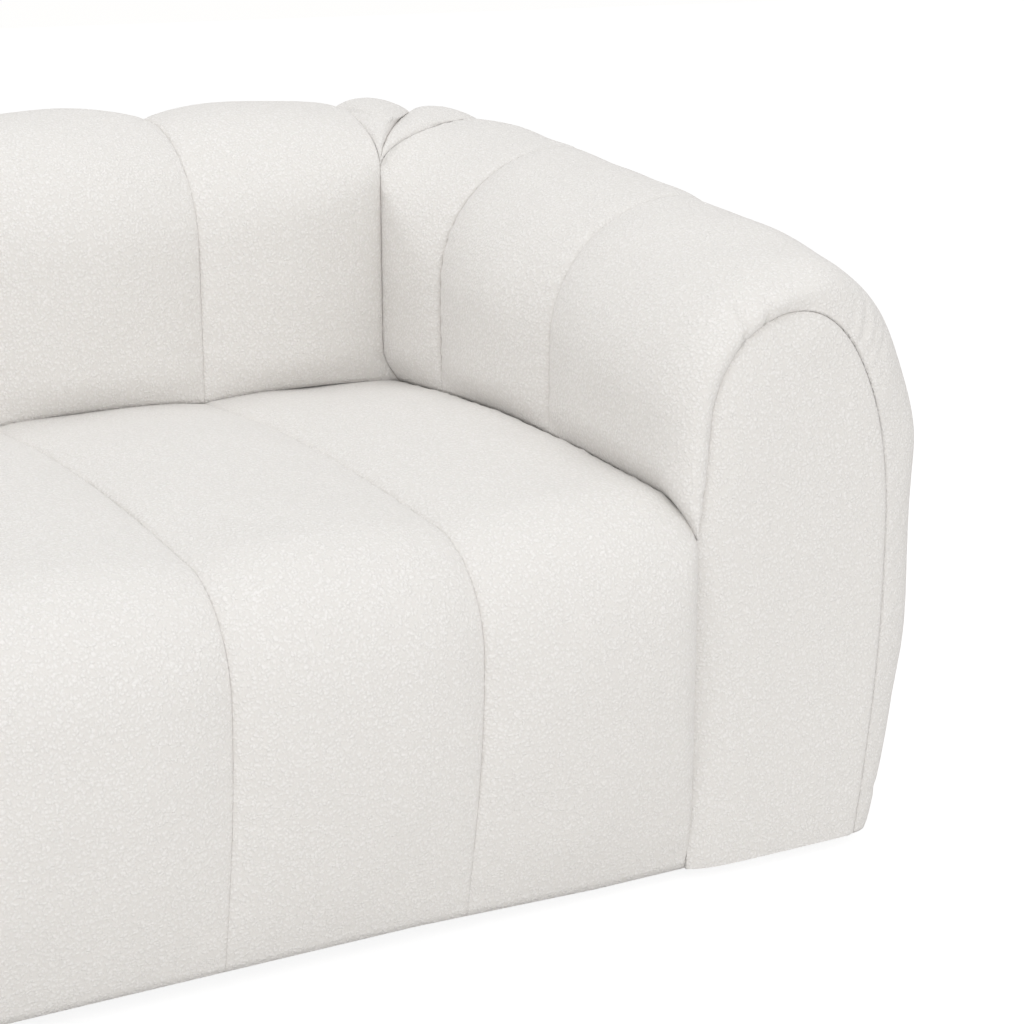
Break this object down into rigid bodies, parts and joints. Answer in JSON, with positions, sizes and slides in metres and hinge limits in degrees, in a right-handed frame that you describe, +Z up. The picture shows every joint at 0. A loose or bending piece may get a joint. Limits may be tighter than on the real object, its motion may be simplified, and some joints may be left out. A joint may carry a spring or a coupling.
{
  "type": "tuxedo sofa",
  "caption": "Low channel-tufted tuxedo sofa in white boucle: arms and back are thick rolled walls round a tight seat, with arched front panels and fanned corners.",
  "frame": {"origin": "on the floor, below the middle of the sofa's box", "axes": "+X to the right of someone who looks at the sofa from the front, +Y to the back, +Z up"},
  "size_m": [2.0822, 0.985, 0.729],
  "materials": {
    "boucle": "looped white boucle, matt",
    "foam": "polyurethane foam, matt",
    "felt": "needled felt, matt",
    "spring_steel": "drawn wire, satin",
    "zinc_steel": "zinc plated, satin",
    "hardwood": "planed, unfinished",
    "plywood": "sawn, unfinished",
    "board": "pressed board, matt",
    "webbing": "elastic webbing, matt",
    "lining": "spun lining, matt",
    "foot_plastic": "moulded, matt"
  },
  "bodies": {
    "root": {"seat_channel_1": "boucle", "seat_channel_2": "boucle", "seat_channel_3": "boucle", "seat_channel_4": "boucle", "seat_channel_5": "boucle", "seat_channel_6": "boucle", "back_channel_1": "boucle", "back_channel_2": "boucle", "back_channel_3": "boucle", "back_channel_4": "boucle", "back_channel_5": "boucle", "back_channel_6": "boucle", "corner_channel_left_1": "boucle", "corner_channel_left_2": "boucle", "corner_channel_right_1": "boucle", "corner_channel_right_2": "boucle", "arm_channel_left_1": "boucle", "arm_channel_left_2": "boucle", "arm_channel_left_3": "boucle", "arm_channel_right_1": "boucle", "arm_channel_right_2": "boucle", "arm_channel_right_3": "boucle", "arm_front_panel_left": "boucle", "arm_front_panel_right": "boucle", "seat_foam": "foam", "back_inner_foam": "foam", "back_top_foam": "foam", "arm_top_foam_left": "foam", "arm_top_foam_right": "foam", "corner_foam_left": "foam", "corner_foam_right": "foam", "spring_felt": "felt", "seat_springs": "spring_steel", "spring_tie_wires": "spring_steel", "spring_clips": "zinc_steel", "foot_bolts": "zinc_steel", "arm_bolts": "zinc_steel", "seat_front_rail": "hardwood", "seat_rear_rail": "hardwood", "seat_cross_rails": "hardwood", "seat_corner_blocks": "hardwood", "back_rails": "hardwood", "arm_rails_left": "hardwood", "arm_rails_right": "hardwood", "foot_blocks": "hardwood", "back_ribs": "plywood", "back_deck_board": "plywood", "arm_front_former_left": "plywood", "arm_front_former_right": "plywood", "arm_rear_formers": "plywood", "corner_frame_left": "plywood", "corner_frame_right": "plywood", "back_outer_board": "board", "arm_boards_left": "board", "arm_boards_right": "board", "corner_boards": "board", "back_webbing": "webbing", "dust_cover": "lining", "feet": "foot_plastic"}
  },
  "joints": []
}
